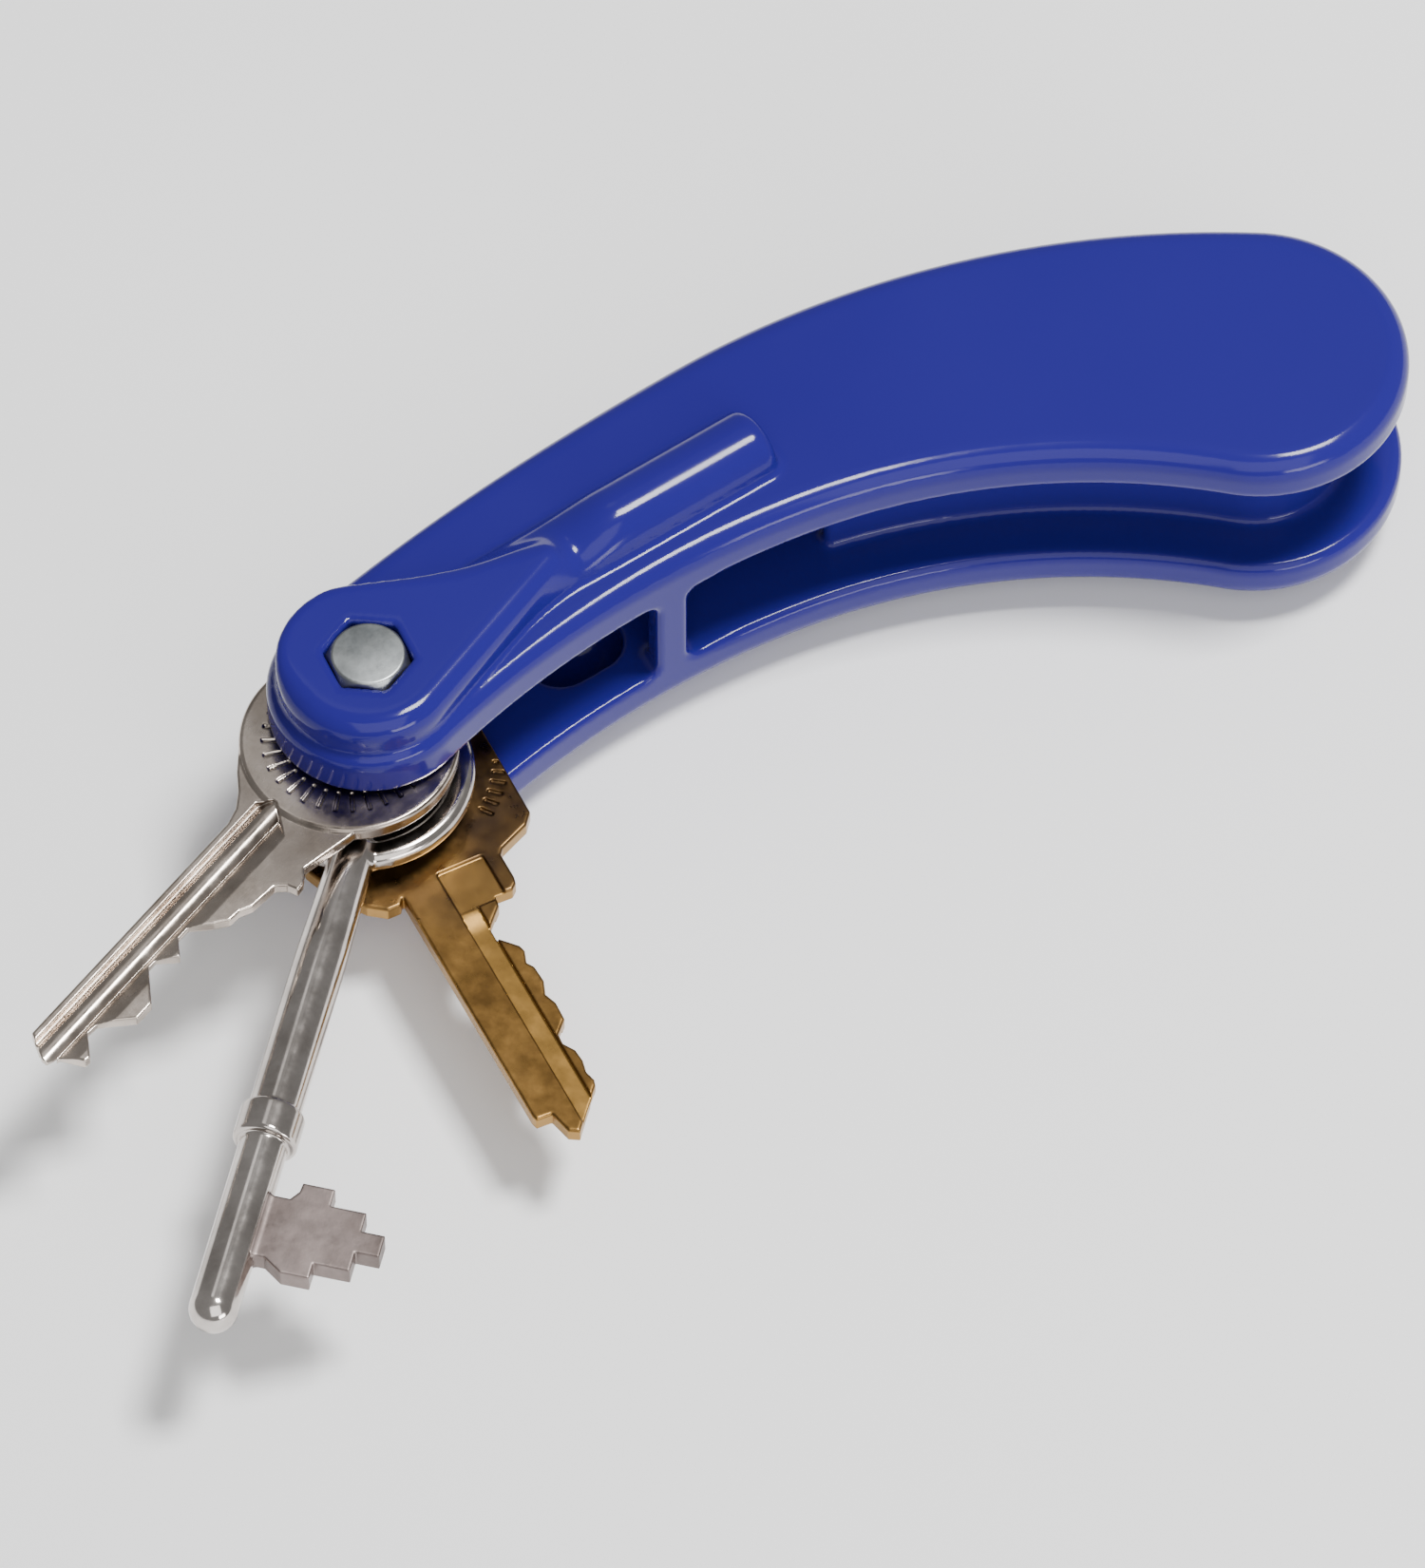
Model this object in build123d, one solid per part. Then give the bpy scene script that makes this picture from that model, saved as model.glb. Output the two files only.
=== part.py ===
from build123d import *

import os
from math import cos, radians, sin, sqrt

# Key organiser: a curved plastic handle that holds three keys on one pivot bolt.
# Millimetres. Z runs along the bolt, with Z = 0 on the face the handle rests on.
# X runs from the bolt to the handle's wide end, Y towards its convex edge.

# Outline of the cheeks: six arcs, each tangent to the next
BOSS_R = 10.7                  # round end, about the bolt
PADDLE_X, PADDLE_Y = 102.3, -0.8
PADDLE_R = 16.2                # wide end
CONVEX_CREST = (63.0, 25.0)    # highest point of the convex edge
CONVEX_JOIN_X = 45.0           # where the convex edge's two arcs meet
CONCAVE_CREST = (50.0, 0.3)    # highest point of the concave edge

# Cheeks
CHEEK_T = 5.6                  # thickness of one cheek
CHEEK_GAP = 12.6               # clear space between the two cheeks
LAND_H = 4.1                   # raised land around the bolt, above the cheek
LAND_R = 9.6
LAND_TIP = (22.0, 4.1)         # narrow end of the land
LAND_TIP_R = 2.3
EDGE_R = 2.6                   # rounding of the cheek's outer edge
LAND_EDGE_R = 2.0              # rounding of the land's outer edge
INNER_EDGE_R = 0.5             # rounding of the cheek's inner edge

# Ridge: raised bar of each cheek, in line with the folded mortice key
RIDGE_ANGLE = 10.0             # direction of the ridge, from X
RIDGE_OFFSET = 1.4             # the ridge's line passes this far beside the bolt
RIDGE_START = 24.0
RIDGE_END = 50.4
RIDGE_R = 4.3
RIDGE_END_EDGE_R = 0.8
CHANNEL_START = 21.0           # hollow inside the ridge's near end
CHANNEL_END = 32.0
CHANNEL_R = 3.8
CHANNEL_DEPTH = 6.0            # of the hollow, below the cheek's inner face

# Stop pillar and web between the cheeks
PILLAR_X = (32.4, 36.2)
PILLAR_Y = (-1.0, 2.0)
PILLAR_R = 0.6
PILLAR_FLARE = 1.4             # chamfer where the pillar meets a cheek
WEB_INSET = 6.4                # from the concave edge to the web
WEB_T = 1.8
WEB_START_X = 56.5

# Bolt, nut and washers
BOLT_D = 5.0
HEX_AF = 7.9                   # head and nut, across flats
HEAD_H = 3.5
HEAD_PROUD = 0.5               # how far the head stands above the land
HEAD_TURN = -5.0               # the head's turn in its recess
RECESS_AF = 8.4
NUT_H = 5.0
NUT_SUNK = 0.4                 # from the resting face to the nut's outer end
INSERT_H = 1.5
INSERT_R = 3.4
THREAD_CLEAR = 0.01
HOLE_D = 5.3                   # bolt hole in the handle and washers
WASHER_D = 10.0
OUTER_WASHER_T = 0.5
SPACER_T = 2.4
PLAY = 0.025                   # axial play between neighbouring pieces

# Keys
KEY_HOLE_D = 5.16              # running fit on the bolt
BLADE_T = 2.0
BOW_T = 2.6                    # mortice key's bow
BIT_T = 2.4
STEM_OFFSET = 1.6              # the mortice key's stem passes this far beside the bolt
NICKEL_ANGLE = 208.0           # directions of the fanned keys, from X
MORTICE_ANGLE = 231.6
BRASS_ANGLE = 272.0

# Heights, from the resting face up
BACK_IN = LAND_H + CHEEK_T
FRONT_IN = BACK_IN + CHEEK_GAP
FRONT_OUT = FRONT_IN + CHEEK_T
TOP = FRONT_OUT + LAND_H
HEAD_SEAT = TOP + HEAD_PROUD - HEAD_H
NUT_SEAT = NUT_SUNK + NUT_H

# Levels of the stack on the bolt, from the back cheek up
BACK_WASHER_Z = BACK_IN + PLAY
BRASS_Z = BACK_WASHER_Z + OUTER_WASHER_T + PLAY
LOWER_SPACER_Z = BRASS_Z + BLADE_T + PLAY
MORTICE_Z = LOWER_SPACER_Z + SPACER_T + PLAY
UPPER_SPACER_Z = MORTICE_Z + BOW_T + PLAY
NICKEL_Z = UPPER_SPACER_Z + SPACER_T + PLAY
FRONT_WASHER_Z = NICKEL_Z + BLADE_T + PLAY

BASE = (Align.CENTER, Align.CENTER, Align.MIN)


def crest_arc(crest, side):
    """Centre and radius of the arc with this crest that is tangent to the paddle's circle.

    side is 1 where the paddle lies inside the arc's circle and -1 where it lies outside.
    """
    dx = PADDLE_X - crest[0]
    dy = PADDLE_Y - crest[1]
    radius = (dx**2 + dy**2 - PADDLE_R**2) / (-2 * (dy + side * PADDLE_R))
    return Vector(crest[0], crest[1] - radius), radius


def arc_to_boss(point, centre, side):
    """Centre and radius of the arc that continues another at a point and meets the boss's circle."""
    normal = (point - centre).normalized()
    radius = (point.length**2 - BOSS_R**2) / (2 * (normal.dot(point) - side * BOSS_R))
    return point - normal * radius, radius


def outline_arcs():
    """Centres and radii of the outline's four long arcs, by name."""
    far_right, far_right_r = crest_arc(CONVEX_CREST, 1)
    rise = sqrt(far_right_r**2 - (CONVEX_JOIN_X - far_right.X) ** 2)
    join = Vector(CONVEX_JOIN_X, far_right.Y + rise)
    far_left, far_left_r = arc_to_boss(join, far_right, 1)
    near_right, near_right_r = crest_arc(CONCAVE_CREST, -1)
    near_left, near_left_r = arc_to_boss(Vector(*CONCAVE_CREST), near_right, -1)
    return {
        "far_right": (far_right, far_right_r),
        "far_left": (far_left, far_left_r),
        "near_right": (near_right, near_right_r),
        "near_left": (near_left, near_left_r),
        "join": join,
    }


def arc_between(centre, radius, start, end):
    """Short arc of a circle between two of its points."""
    middle = ((start - centre) + (end - centre)).normalized() * radius + centre
    return ThreePointArc(start, middle, end)


def cheek_outline():
    """Curved outline of the handle, as a face at Z = 0."""
    arcs = outline_arcs()
    boss = Vector(0, 0)
    paddle = Vector(PADDLE_X, PADDLE_Y)
    join = arcs["join"]
    crest = Vector(*CONCAVE_CREST)
    far_boss = (boss - arcs["far_left"][0]).normalized() * BOSS_R
    far_paddle = paddle + (paddle - arcs["far_right"][0]).normalized() * PADDLE_R
    near_paddle = paddle + (arcs["near_right"][0] - paddle).normalized() * PADDLE_R
    near_boss = (arcs["near_left"][0] - boss).normalized() * BOSS_R
    edges = [
        arc_between(*arcs["far_left"], far_boss, join),
        arc_between(*arcs["far_right"], join, far_paddle),
        ThreePointArc(far_paddle, paddle + Vector(PADDLE_R, 0), near_paddle),
        arc_between(*arcs["near_right"], near_paddle, crest),
        arc_between(*arcs["near_left"], crest, near_boss),
        ThreePointArc(near_boss, Vector(-BOSS_R, 0), far_boss),
    ]
    return make_face(edges)


def land_outline():
    """Teardrop land around the bolt, tapering to the start of the ridge."""
    big = Circle(LAND_R)
    small = Pos(*LAND_TIP) * Circle(LAND_TIP_R)
    return make_hull(big.edges() + small.edges())


def along_ridge(shape):
    """Places a shape made along X from the bolt on the ridge's line."""
    return Rot(0, 0, RIDGE_ANGLE) * Pos(0, RIDGE_OFFSET, 0) * shape


def ridge():
    """Half-round bar with one ball end and one flat end, on the outer face at Z = 0."""
    drop = LAND_H - RIDGE_R
    start = RIDGE_START + RIDGE_R
    bar = Cylinder(RIDGE_R, RIDGE_END - start, align=BASE)
    bar = fillet(bar.edges().group_by(Axis.Z)[-1], RIDGE_END_EDGE_R)
    bar = Pos(start, 0, drop) * Rot(0, 90, 0) * bar + Pos(start, 0, drop) * Sphere(RIDGE_R)
    below = Pos(0, 0, -CHEEK_T / 2) * Box(200, 40, CHEEK_T, align=(Align.CENTER, Align.CENTER, Align.MAX))
    return along_ridge(bar - below)


def channel():
    """Hollow behind the ridge; the cheek's inner face is at Z = 0, outward is +Z."""
    length = CHANNEL_END - CHANNEL_START - 2 * CHANNEL_R
    start = CHANNEL_START + CHANNEL_R
    deep = CHANNEL_DEPTH - CHANNEL_R
    slot = extrude(SlotCenterToCenter(length, 2 * CHANNEL_R), deep + 1)
    roof = Rot(0, 90, 0) * Cylinder(CHANNEL_R, length, align=BASE)
    ends = [Pos(x, 0, 0) * Sphere(CHANNEL_R) for x in (0, length)]
    hollow = Pos(length / 2, 0, -deep - 1) * slot + roof + ends
    return along_ridge(Pos(start, 0, deep) * hollow)


def cheek():
    """Front cheek, with its outer face at Z = 0 and inner face at Z = -CHEEK_T."""
    plate = Pos(0, 0, -CHEEK_T) * extrude(cheek_outline(), CHEEK_T)
    plate = fillet(plate.edges().group_by(Axis.Z)[-1], EDGE_R)
    plate = fillet(plate.edges().group_by(Axis.Z)[0], INNER_EDGE_R)
    land = Pos(0, 0, -CHEEK_T / 2) * extrude(land_outline(), LAND_H + CHEEK_T / 2)
    land = fillet(land.edges().group_by(Axis.Z)[-1], LAND_EDGE_R)
    return plate + land + ridge() - Pos(0, 0, -CHEEK_T) * channel()


def web_outline():
    """Band that follows the concave edge and the wide end, WEB_INSET inside them."""
    arcs = outline_arcs()
    centre, radius = arcs["near_right"]
    paddle = Vector(PADDLE_X, PADDLE_Y)
    toward = (centre - paddle).normalized()
    rows = []
    for inset in (WEB_INSET, WEB_INSET + WEB_T):
        wide = PADDLE_R - inset
        rise = sqrt((radius + inset) ** 2 - (WEB_START_X - centre.X) ** 2)
        start = Vector(WEB_START_X, centre.Y + rise)
        turn = paddle + toward * wide
        end = paddle + Vector(wide * cos(radians(20)), wide * sin(radians(20)))
        under = paddle + Vector(wide * cos(radians(-50)), wide * sin(radians(-50)))
        near = arc_between(centre, radius + inset, start, turn)
        rows.append([start, near, ThreePointArc(turn, under, end), end])
    caps = [Line(rows[0][0], rows[1][0]), Line(rows[0][3], rows[1][3])]
    return make_face([rows[0][1], rows[0][2], rows[1][1], rows[1][2]] + caps)


def between_cheeks():
    """Stop pillar and web that join the two cheeks."""
    width = PILLAR_X[1] - PILLAR_X[0]
    depth = PILLAR_Y[1] - PILLAR_Y[0]
    post = Pos(sum(PILLAR_X) / 2, sum(PILLAR_Y) / 2) * RectangleRounded(width, depth, PILLAR_R)
    flare = extrude(post, PILLAR_FLARE, taper=-45) & extrude(cheek_outline(), PILLAR_FLARE)
    flares = [Pos(0, 0, FRONT_IN - PILLAR_FLARE) * flare]
    flares += [Pos(0, 0, BACK_IN + PILLAR_FLARE) * flare.mirror(Plane.XY)]
    height = CHEEK_GAP + CHEEK_T
    joined = extrude(post, height) + extrude(web_outline(), height)
    return Pos(0, 0, BACK_IN - CHEEK_T / 2) * joined + flares


def hexagon(across_flats):
    return RegularPolygon(across_flats / 2, 6, major_radius=False, rotation=30)


def handle():
    front = Pos(0, 0, FRONT_OUT) * cheek()
    back = front.mirror(Plane.XY.offset(TOP / 2))
    body = front + back + between_cheeks()
    body -= Pos(0, 0, HEAD_SEAT) * extrude(hexagon(RECESS_AF), TOP)
    body -= extrude(hexagon(RECESS_AF), NUT_SEAT)
    return body - Cylinder(HOLE_D / 2, 3 * TOP)


def pivot_bolt():
    """Hexagon-head bolt with a domed chamfer on the head."""
    head = extrude(hexagon(HEX_AF), HEAD_H)
    crown_r = HEX_AF * 0.47
    cone = Cone(crown_r + HEAD_H * 1.6, crown_r, HEAD_H, align=BASE)
    shank = extrude(Circle(BOLT_D / 2), HEAD_SEAT + HEAD_H / 2)
    shank = chamfer(shank.edges().group_by(Axis.Z)[0], 0.5)
    return shank + Pos(0, 0, HEAD_SEAT) * Rot(0, 0, HEAD_TURN) * (head & cone)


def nut():
    """Lock nut: hexagon with a round collar at its outer end that holds the nylon ring."""
    collar_h = 0.9
    body = Pos(0, 0, collar_h) * extrude(hexagon(HEX_AF), NUT_H - collar_h)
    body += extrude(Circle(INSERT_R + 0.4), NUT_H)
    body -= Cylinder(INSERT_R, 2 * INSERT_H)
    return Pos(0, 0, NUT_SUNK) * body - Cylinder(BOLT_D / 2 + THREAD_CLEAR, TOP)


def nut_insert():
    ring = Circle(INSERT_R) - Circle(BOLT_D / 2 + THREAD_CLEAR)
    return Pos(0, 0, NUT_SUNK + 0.1) * extrude(ring, INSERT_H - 0.1)


def washer(height, thickness):
    ring = Circle(WASHER_D / 2) - Circle(HOLE_D / 2)
    return Pos(0, 0, height) * extrude(ring, thickness)


def flute(start, end, y, width, depth):
    """Long groove with round ends, cut down from Z = 0."""
    slot = SlotOverall(end - start, width)
    return Pos((start + end) / 2, y, -depth) * extrude(slot, depth + 1)


def nickel_outline():
    """Cylinder key seen from above: blade along +X from the bolt, cuts on the +Y side."""
    bow = Pos(4.1, 0.4) * Circle(11.5)
    blade = Polyline(
        (8, -9.2), (10.6, -9.0), (12.2, -7.9), (14.2, -6.5), (16.0, -4.9), (17.8, -3.8),
        (19.8, -3.3), (52.0, -3.3), (53.8, -0.6), (53.9, 0.1), (52.4, 0.7), (51.4, 3.2),
        (50.7, 3.3), (48.4, 1.1), (47.0, 1.2), (44.1, 4.2), (41.8, 4.2), (38.4, 1.1),
        (37.3, 1.1), (35.6, 3.0), (33.8, 1.3), (32.2, 1.3), (30.4, 3.2), (29.0, 4.3),
        (27.6, 4.4), (26.3, 5.1), (23.0, 5.4), (22.1, 6.4), (21.9, 7.6), (20.9, 7.5),
        (19.4, 6.5), (8, 9.0), close=True,
    )
    return bow + make_face(blade) - Circle(KEY_HOLE_D / 2)


def nickel_cylinder_key():
    key = extrude(nickel_outline(), BLADE_T)
    for y, start, width in ((-2.4, 15.5, 0.4), (1.3, 15.5, 2.0)):
        key -= Pos(0, 0, BLADE_T) * flute(start, 60, y, width, 0.7)
    key -= Rot(180, 0, 0) * flute(17, 60, -0.2, 1.7, 0.6)
    return Rot(0, 0, NICKEL_ANGLE) * Pos(0, 0, NICKEL_Z) * key


def mortice_stem():
    """Round stem with its collar and ball tip, about a line along X."""
    profile = Polyline(
        (13.0, 0), (13.0, 2.2), (15.5, 2.5), (30.0, 2.68), (45.4, 2.75), (46.4, 2.9), (46.9, 3.4),
        (50.3, 3.45), (50.9, 3.1), (51.1, 2.65), (70.6, 2.5), (72.0, 2.05), (72.9, 1.25),
        (73.3, 0.3), (73.3, 0), close=True,
    )
    return Pos(0, STEM_OFFSET, 0) * revolve(make_face(profile), Axis.X)


def mortice_key_shank():
    """Bow, stem and collar; the stem's axis is at the bow's mid thickness."""
    bow = Pos(4.0, -0.2, -BOW_T / 2) * extrude(Circle(12.0), BOW_T)
    bow = fillet(bow.edges(), 0.9)
    key = bow + mortice_stem() - Cylinder(KEY_HOLE_D / 2, 20)
    return Rot(0, 0, MORTICE_ANGLE) * Pos(0, 0, MORTICE_Z + BOW_T / 2) * key


def mortice_key_bit():
    """Flat stepped bit, brazed along the stem."""
    outline = Polyline(
        (56.9, 1.5), (56.9, 4.4), (55.9, 5.1), (54.8, 5.2), (54.8, 8.7), (56.8, 8.7),
        (56.8, 12.5), (59.0, 12.5), (59.0, 15.0), (61.7, 15.0), (61.7, 12.5), (64.0, 12.5),
        (64.0, 8.7), (65.8, 8.7), (65.8, 5.6), (64.4, 3.6), (64.4, 1.5), close=True,
    )
    bit = Pos(0, STEM_OFFSET, -BIT_T / 2) * extrude(make_face(outline), BIT_T) - mortice_stem()
    return Rot(0, 0, MORTICE_ANGLE) * Pos(0, 0, MORTICE_Z + BOW_T / 2) * bit


def brass_outline():
    """Cylinder key with a broad bow: blade along +X from the bolt, cuts on the +Y side."""
    outline = Polyline(
        (-9.5, -6.5), (-7.8, -10.5), (-4.0, -12.2), (9.0, -12.2), (13.0, -10.7), (16.0, -8.5),
        (17.4, -6.7), (17.4, -5.2), (16.8, -4.7), (46.7, -4.7), (47.4, -4.5), (47.5, -2.8),
        (50.0, -2.2), (50.7, -1.1), (48.4, 0.9), (46.3, 2.9), (45.6, 3.1), (44.4, 2.8),
        (43.0, 3.1), (41.5, 3.0), (40.2, 2.2), (39.0, 2.3), (37.6, 3.7), (35.4, 3.8),
        (34.0, 3.3), (32.4, 3.9), (30.4, 3.8), (29.6, 3.3), (28.2, 3.8), (27.4, 3.6),
        (25.5, 1.9), (24.0, 1.9), (22.0, 3.9), (20.8, 4.1), (20.9, 6.0), (20.3, 6.7),
        (19.5, 6.9), (16.4, 6.9), (15.8, 7.4), (14.3, 10.9), (13.0, 12.0), (-4.0, 12.2),
        (-7.8, 10.5), (-9.5, 6.5), close=True,
    )
    return make_face(outline) - Circle(KEY_HOLE_D / 2)


def brass_cylinder_key():
    key = extrude(brass_outline(), BLADE_T)
    key -= Pos(0, 0, BLADE_T) * flute(20.5, 60, 0.8, 2.2, 0.65)
    key -= Rot(180, 0, 0) * flute(17, 60, -2.3, 1.4, 0.6)
    return Rot(0, 0, BRASS_ANGLE) * Pos(0, 0, BRASS_Z) * key


def parts():
    """Every piece, by the name of its file."""
    cheek_washers = [washer(z, OUTER_WASHER_T) for z in (BACK_WASHER_Z, FRONT_WASHER_Z)]
    key_spacers = [washer(z, SPACER_T) for z in (LOWER_SPACER_Z, UPPER_SPACER_Z)]
    return {
        "handle": handle(),
        "pivot_bolt": pivot_bolt(),
        "nut": nut(),
        "nut_insert": nut_insert(),
        "cheek_washers": Compound(children=cheek_washers),
        "key_spacers": Compound(children=key_spacers),
        "nickel_cylinder_key": nickel_cylinder_key(),
        "mortice_key_shank": mortice_key_shank(),
        "mortice_key_bit": mortice_key_bit(),
        "brass_cylinder_key": brass_cylinder_key(),
    }


os.makedirs("parts", exist_ok=True)
for name, shape in parts().items():
    export_step(shape, f"parts/{name}.step")
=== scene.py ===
import math

import bpy
import numpy as np
from mathutils import Matrix, Vector


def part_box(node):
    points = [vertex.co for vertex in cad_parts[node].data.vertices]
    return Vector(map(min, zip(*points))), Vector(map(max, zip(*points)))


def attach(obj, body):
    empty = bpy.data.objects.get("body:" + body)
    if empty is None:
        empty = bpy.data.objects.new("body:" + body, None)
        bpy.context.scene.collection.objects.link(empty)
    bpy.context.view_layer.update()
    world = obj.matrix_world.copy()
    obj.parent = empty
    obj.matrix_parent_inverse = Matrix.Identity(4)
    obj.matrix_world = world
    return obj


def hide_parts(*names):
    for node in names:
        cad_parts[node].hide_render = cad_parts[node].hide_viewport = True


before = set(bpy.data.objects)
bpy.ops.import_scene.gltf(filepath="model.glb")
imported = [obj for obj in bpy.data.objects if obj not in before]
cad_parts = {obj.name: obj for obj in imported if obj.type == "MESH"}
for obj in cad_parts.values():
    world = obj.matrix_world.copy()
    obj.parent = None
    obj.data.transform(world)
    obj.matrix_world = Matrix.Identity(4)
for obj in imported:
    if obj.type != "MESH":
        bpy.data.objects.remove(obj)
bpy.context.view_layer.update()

# Sizes are in millimetres and follow the CAD's; the named angles are in degrees. Each shape
# is a field, which is negative inside it and about equal to the distance from its surface.
MM = 0.001

BOSS_R = 10.7
PADDLE = (102.3, -0.8)
PADDLE_R = 16.2
CONVEX_CREST = (63.0, 25.0)
CONVEX_JOIN_X = 45.0
CONCAVE_CREST = (50.0, 0.3)
CHEEK_T = 5.6
CHEEK_GAP = 12.6
EDGE_R = 2.6
EDGE_R_BOSS = 1.8

LAND_H = 4.1
LAND_R = 9.6
LAND_TIP = (22.0, 4.1)
LAND_TIP_R = 2.2
LAND_EDGE_R = 2.4
LAND_EDGE_R_FAR = 0.7
LAND_WAIST = 1.1

RIDGE_ANGLE = 10.0
RIDGE_OFFSET = 1.4
RIDGE_R = 4.3
RIDGE_START = 15.0
RIDGE_END = 50.4
RIDGE_END_R = 1.5
RIDGE_SUNK = 0.2
RIDGE_DIP = 1.5
RIDGE_DIP_X = (23.5, 32)
RELIEF_FILLET = 1.6

CHANNEL_X = (24.8, 28.2)
CHANNEL_R = 3.8
CHANNEL_DEPTH = 2.2

PILLAR_X = (32.4, 36.2)
PILLAR_FOOT = -9.0
PILLAR_TOP = 2.0
PILLAR_CORNER_R = 0.8
PILLAR_FILLET = 1.7
WEB_INSET = 6.4
WEB_T = 1.8
WEB_START_X = 56.5
WEB_END_ANGLE = 20.0
WEB_FILLET = 0.9

BOLT_D = 5.0
HOLE_D = 5.3
HEX_AF = 7.9
RECESS_AF = 8.25
HEAD_H = 3.5
HEAD_PROUD = 0.5
HEAD_TURN = -3.0
CROWN_R = 3.68
THREAD_END = 9.0
NUT_SUNK = 0.4
NUT_H = 5.0
COLLAR_H = 0.9
INSERT_R = 3.4
INSERT_H = 1.5
WASHER_R = 5.0
WASHER_T = 0.5
SPACER_T = 2.4

KEY_BORE_R = 2.58
BLADE_T = 2.0
BOW_T = 2.6
BIT_T = 2.4
STEM_OFFSET = 1.6
NICKEL_ANGLE = 208.0
MORTICE_ANGLE = 231.6
BRASS_ANGLE = 272.0

TOP = 2 * (LAND_H + CHEEK_T) + CHEEK_GAP
MIDDLE = TOP / 2
FACE = MIDDLE - LAND_H
HEAD_TOP = TOP + HEAD_PROUD
HEAD_SEAT = HEAD_TOP - HEAD_H
NUT_SEAT = NUT_SUNK + NUT_H


# ---------------------------------------------------------------- fields
def both(a, b, r):
    """Where both fields are inside, with the outer edge rounded to radius r."""
    return np.minimum(-r, np.maximum(a, b)) + np.hypot(np.maximum(a + r, 0), np.maximum(b + r, 0))


def either(a, b, r):
    """Where either field is inside, with the inner corner filled to radius r."""
    return np.maximum(r, np.minimum(a, b)) - np.hypot(np.maximum(r - a, 0), np.maximum(r - b, 0))


def smooth(x, low, high, start=0, end=1):
    """The start value below low, the end value above high, and an S-curve between."""
    t = np.clip((x - low) / (high - low), 0, 1)
    return start + (end - start) * t * t * (3 - 2 * t)


def slab(z, low, high):
    """Layer between two heights."""
    return np.abs(z - (low + high) / 2) - (high - low) / 2


def cone(out, up, direction):
    """Cone through the circle where out and up are both zero; it faces (out, up)."""
    return out * direction[0] + up * direction[1]


def slot(x, y, start, end, r):
    """Straight slot with round ends, from start to end along its middle line."""
    dx, dy = end[0] - start[0], end[1] - start[1]
    along = np.clip(((x - start[0]) * dx + (y - start[1]) * dy) / (dx * dx + dy * dy), 0, 1)
    return np.hypot(x - start[0] - along * dx, y - start[1] - along * dy) - r


def rectangle(x, y, x0, x1, y0, y1, r):
    """Rectangle with corners of radius r."""
    dx = np.abs(x - (x0 + x1) / 2) - (x1 - x0) / 2 + r
    dy = np.abs(y - (y0 + y1) / 2) - (y1 - y0) / 2 + r
    return np.hypot(np.maximum(dx, 0), np.maximum(dy, 0)) + np.minimum(np.maximum(dx, dy), 0) - r


def hexagon(x, y, across_flats, turn):
    """Regular hexagon, with the first flat facing turn degrees from X."""
    sides = [math.radians(turn + 60 * k) for k in range(3)]
    reach = [np.abs(x * math.cos(a) + y * math.sin(a)) for a in sides]
    return np.maximum.reduce(reach) - across_flats / 2


def polygon(x, y, points):
    """Closed outline with straight sides."""
    x, y = np.broadcast_arrays(x, y)
    nearest = np.full(x.shape, np.inf)
    inside = np.zeros(x.shape, bool)
    for (ax, ay), (bx, by) in zip(points, points[1:] + points[:1]):
        ex, ey = bx - ax, by - ay
        along = np.clip(((x - ax) * ex + (y - ay) * ey) / (ex * ex + ey * ey), 0, 1)
        nearest = np.minimum(nearest, np.hypot(x - ax - along * ex, y - ay - along * ey))
        if ay != by:
            inside ^= ((ay > y) != (by > y)) & (x < ex * (y - ay) / ey + ax)
    return np.where(inside, -nearest, nearest)


def turned(x, y, degrees):
    """Coordinates in axes that are turned by this angle."""
    c, s = math.cos(math.radians(degrees)), math.sin(math.radians(degrees))
    return x * c + y * s, y * c - x * s


# ---------------------------------------------------------------- meshing
def crossing_points(f, axes, cells):
    """Mean of the points where the field crosses zero on each cell's twelve edges."""
    total = np.zeros((len(cells), 3))
    count = np.zeros(len(cells))
    i, j, k = cells.T
    for axis in range(3):
        for u in (0, 1):
            for v in (0, 1):
                low = np.array(np.roll((0, u, v), axis))
                high = low + np.roll((1, 0, 0), axis)
                f0 = f[i + low[0], j + low[1], k + low[2]]
                f1 = f[i + high[0], j + high[1], k + high[2]]
                crosses = (f0 < 0) != (f1 < 0)
                t = np.where(crosses, f0 / np.where(crosses, f0 - f1, 1), 0)
                corner = cells + low
                point = np.stack([axes[a][corner[:, a]] for a in range(3)], axis=1)
                point[:, axis] += t * (axes[axis][1] - axes[axis][0])
                total += point * crosses[:, None]
                count += crosses
    return total / count[:, None]


def onto_surface(field, points, step):
    """Moves each point along the field's slope to where the field is zero."""
    for _ in range(3):
        x, y, z = points.T
        here = field(x, y, z)
        e = step * 0.05
        slope = np.stack([field(x + e, y, z), field(x, y + e, z), field(x, y, z + e)], axis=1)
        slope = (slope - here[:, None]) / e
        move = here[:, None] * slope / np.maximum((slope**2).sum(axis=1), 0.1)[:, None]
        points = points - np.clip(move, -step / 2, step / 2)
    return points


def cell_faces(inside, index):
    """Quads between the cells round each grid edge that crosses the surface."""
    quads = []
    for axis in range(3):
        order = [axis, (axis + 1) % 3, (axis + 2) % 3]
        filled = np.transpose(inside, order)
        number = np.transpose(index, order)
        changes = filled[:-1, 1:-1, 1:-1] != filled[1:, 1:-1, 1:-1]
        a, b, c = np.argwhere(changes).T
        b, c = b + 1, c + 1
        ring = [number[a, b - 1, c - 1], number[a, b, c - 1], number[a, b, c], number[a, b - 1, c]]
        quad = np.stack(ring, axis=1)
        quads.append(np.where(filled[a, b, c][:, None], quad, quad[:, ::-1]))
    return np.concatenate(quads)


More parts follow.
